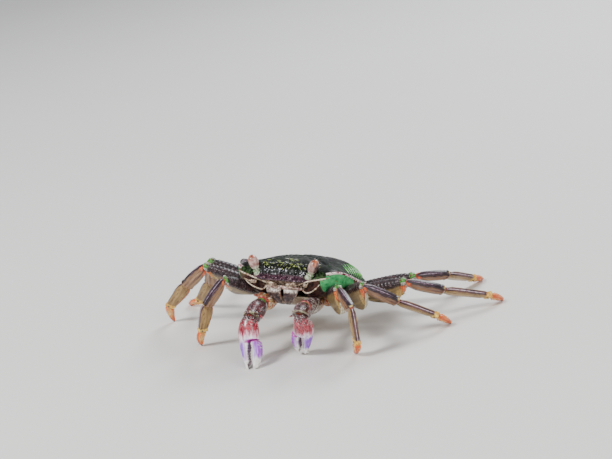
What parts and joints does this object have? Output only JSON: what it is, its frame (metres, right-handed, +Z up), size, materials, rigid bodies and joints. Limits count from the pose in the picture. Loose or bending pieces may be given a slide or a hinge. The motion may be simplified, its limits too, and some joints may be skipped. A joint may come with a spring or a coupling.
{
  "type": "lightfoot shore crab display model",
  "caption": "Life-size still model of a lightfoot rock crab standing on its leg tips, with a broad flat shell, wide flat leg plates, eyes on short stalks and short spoon-tipped claws.",
  "frame": {"origin": "on the floor, under the middle of the bounding box", "axes": "the crab faces -Y, +X is its left side, +Z is up"},
  "size_m": [0.1241, 0.0902, 0.0319],
  "materials": {
    "carapace_shell": "satin dark green-black shell with pale flecks and green cross lines",
    "belly_shell": "satin pale tan shell",
    "mouth_shell": "satin mottled purple-brown shell",
    "leg_shell": "satin purple-brown shell, tan underneath",
    "leg_tip": "satin yellow to orange shell",
    "claw_shell": "glossy red-purple shell, white and violet on the fingers",
    "eye": "glossy pinkish grey"
  },
  "bodies": {
    "root": {"abdomen": "belly_shell", "antenna_left": "mouth_shell", "antenna_right": "mouth_shell", "carapace": "carapace_shell", "claw_left_carpus": "claw_shell", "claw_left_finger": "claw_shell", "claw_left_merus": "claw_shell", "claw_left_palm": "claw_shell", "claw_right_carpus": "claw_shell", "claw_right_finger": "claw_shell", "claw_right_merus": "claw_shell", "claw_right_palm": "claw_shell", "eye_left": "eye", "eye_right": "eye", "eyestalk_left": "mouth_shell", "eyestalk_right": "mouth_shell", "leg_left_1_carpus": "leg_shell", "leg_left_1_coxa": "leg_shell", "leg_left_1_dactyl": "leg_tip", "leg_left_1_merus": "leg_shell", "leg_left_1_propodus": "leg_shell", "leg_left_2_carpus": "leg_shell", "leg_left_2_coxa": "leg_shell", "leg_left_2_dactyl": "leg_tip", "leg_left_2_merus": "leg_shell", "leg_left_2_propodus": "leg_shell", "leg_left_3_carpus": "leg_shell", "leg_left_3_coxa": "leg_shell", "leg_left_3_dactyl": "leg_tip", "leg_left_3_merus": "leg_shell", "leg_left_3_propodus": "leg_shell", "leg_left_4_carpus": "leg_shell", "leg_left_4_coxa": "leg_shell", "leg_left_4_dactyl": "leg_tip", "leg_left_4_merus": "leg_shell", "leg_left_4_propodus": "leg_shell", "leg_right_1_carpus": "leg_shell", "leg_right_1_coxa": "leg_shell", "leg_right_1_dactyl": "leg_tip", "leg_right_1_merus": "leg_shell", "leg_right_1_propodus": "leg_shell", "leg_right_2_carpus": "leg_shell", "leg_right_2_coxa": "leg_shell", "leg_right_2_dactyl": "leg_tip", "leg_right_2_merus": "leg_shell", "leg_right_2_propodus": "leg_shell", "leg_right_3_carpus": "leg_shell", "leg_right_3_coxa": "leg_shell", "leg_right_3_dactyl": "leg_tip", "leg_right_3_merus": "leg_shell", "leg_right_3_propodus": "leg_shell", "leg_right_4_carpus": "leg_shell", "leg_right_4_coxa": "leg_shell", "leg_right_4_dactyl": "leg_tip", "leg_right_4_merus": "leg_shell", "leg_right_4_propodus": "leg_shell", "maxilliped_left": "mouth_shell", "maxilliped_right": "mouth_shell", "thorax": "belly_shell"}
  },
  "joints": []
}
